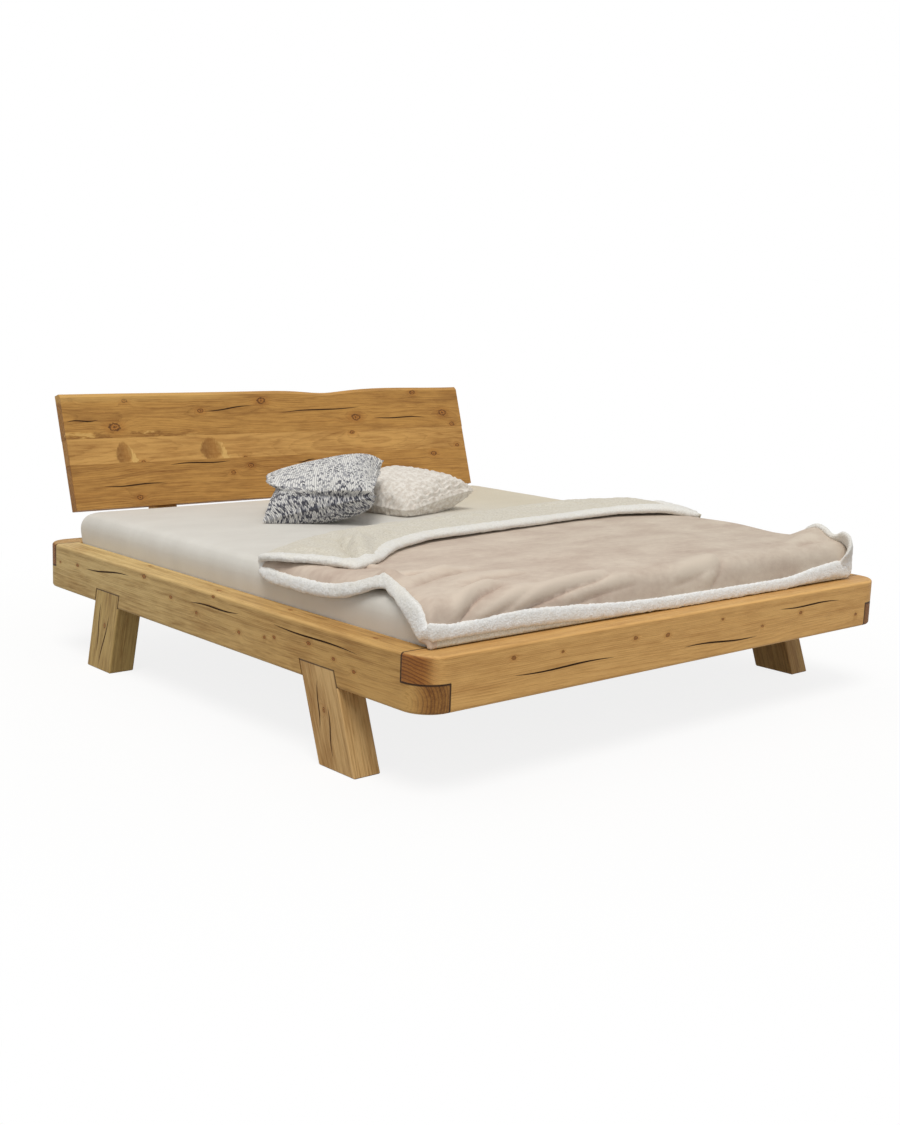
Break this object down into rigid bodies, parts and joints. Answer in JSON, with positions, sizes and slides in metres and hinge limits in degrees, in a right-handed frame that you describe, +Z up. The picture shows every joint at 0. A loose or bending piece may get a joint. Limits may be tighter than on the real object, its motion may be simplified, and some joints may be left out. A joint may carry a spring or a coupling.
{
  "type": "beam bed",
  "caption": "Heavy beam bed frame with half-lapped rounded corners, slanted legs and a leaning live-edge headboard, with mattress, throw and cushions.",
  "frame": {"origin": "on the floor under the centre of the whole bed's bounding box", "axes": "+X to the bed's right seen from its foot, +Y from foot to head, +Z up"},
  "size_m": [2.202, 2.3302, 0.9635],
  "materials": {
    "rail_spruce": "oiled, softly brushed",
    "leg_spruce": "oiled, softly brushed",
    "headboard_spruce": "oiled, softly brushed",
    "base_spruce": "planed",
    "beech": "planed",
    "zinc_steel": "zinc plated",
    "webbing": "woven",
    "cover_cloth": "quilted",
    "sheet_jersey": "jersey",
    "plush": "short pile with a fleece lining",
    "white_plush": "ruffled pile",
    "grey_knit": "coarse knit"
  },
  "bodies": {
    "frame": {"side_rail_left": "rail_spruce", "side_rail_right": "rail_spruce", "foot_rail": "rail_spruce", "head_rail": "rail_spruce", "foot_leg_left": "leg_spruce", "foot_leg_right": "leg_spruce", "head_leg_left": "leg_spruce", "head_leg_right": "leg_spruce", "leg_dowels": "beech", "corner_bolts": "zinc_steel", "corner_washers": "zinc_steel", "headboard_bottom_board": "headboard_spruce", "headboard_middle_board": "headboard_spruce", "headboard_top_board": "headboard_spruce", "headboard_post_left": "headboard_spruce", "headboard_post_right": "headboard_spruce", "headboard_screws": "zinc_steel", "post_pegs": "beech", "ledger_left": "base_spruce", "ledger_right": "base_spruce", "ledger_screws": "zinc_steel", "centre_beam": "base_spruce", "beam_hanger_foot": "zinc_steel", "beam_hanger_head": "zinc_steel", "hanger_screws": "zinc_steel", "centre_leg": "base_spruce", "centre_leg_plate": "zinc_steel", "centre_leg_screw": "zinc_steel", "leg_plate_screws": "zinc_steel"},
    "slatted_base": {"slat_01": "base_spruce", "slat_02": "base_spruce", "slat_03": "base_spruce", "slat_04": "base_spruce", "slat_05": "base_spruce", "slat_06": "base_spruce", "slat_07": "base_spruce", "slat_08": "base_spruce", "slat_09": "base_spruce", "slat_10": "base_spruce", "slat_11": "base_spruce", "slat_12": "base_spruce", "slat_13": "base_spruce", "slat_14": "base_spruce", "slat_15": "base_spruce", "slat_16": "base_spruce", "slat_band_left": "webbing", "slat_band_right": "webbing"},
    "mattress": {"mattress": "cover_cloth", "fitted_sheet": "sheet_jersey"},
    "throw": {"throw": "plush"},
    "white_cushion": {"white_cushion": "white_plush"},
    "grey_cushion": {"grey_cushion": "grey_knit"}
  },
  "joints": [
    {"name": "base_lift", "type": "slide", "parent": "frame", "child": "slatted_base", "axis": [0, 0, 1], "range_m": [0, 0.3]},
    {"name": "mattress_lift", "type": "slide", "parent": "slatted_base", "child": "mattress", "axis": [0, 0, 1], "range_m": [0, 0.3]},
    {"name": "throw_lift", "type": "slide", "parent": "mattress", "child": "throw", "axis": [0, 0, 1], "range_m": [0, 0.3]},
    {"name": "white_cushion_lift", "type": "slide", "parent": "mattress", "child": "white_cushion", "axis": [0, 0, 1], "range_m": [0, 0.3]},
    {"name": "grey_cushion_lift", "type": "slide", "parent": "white_cushion", "child": "grey_cushion", "axis": [0, 0, 1], "range_m": [0, 0.3]}
  ]
}
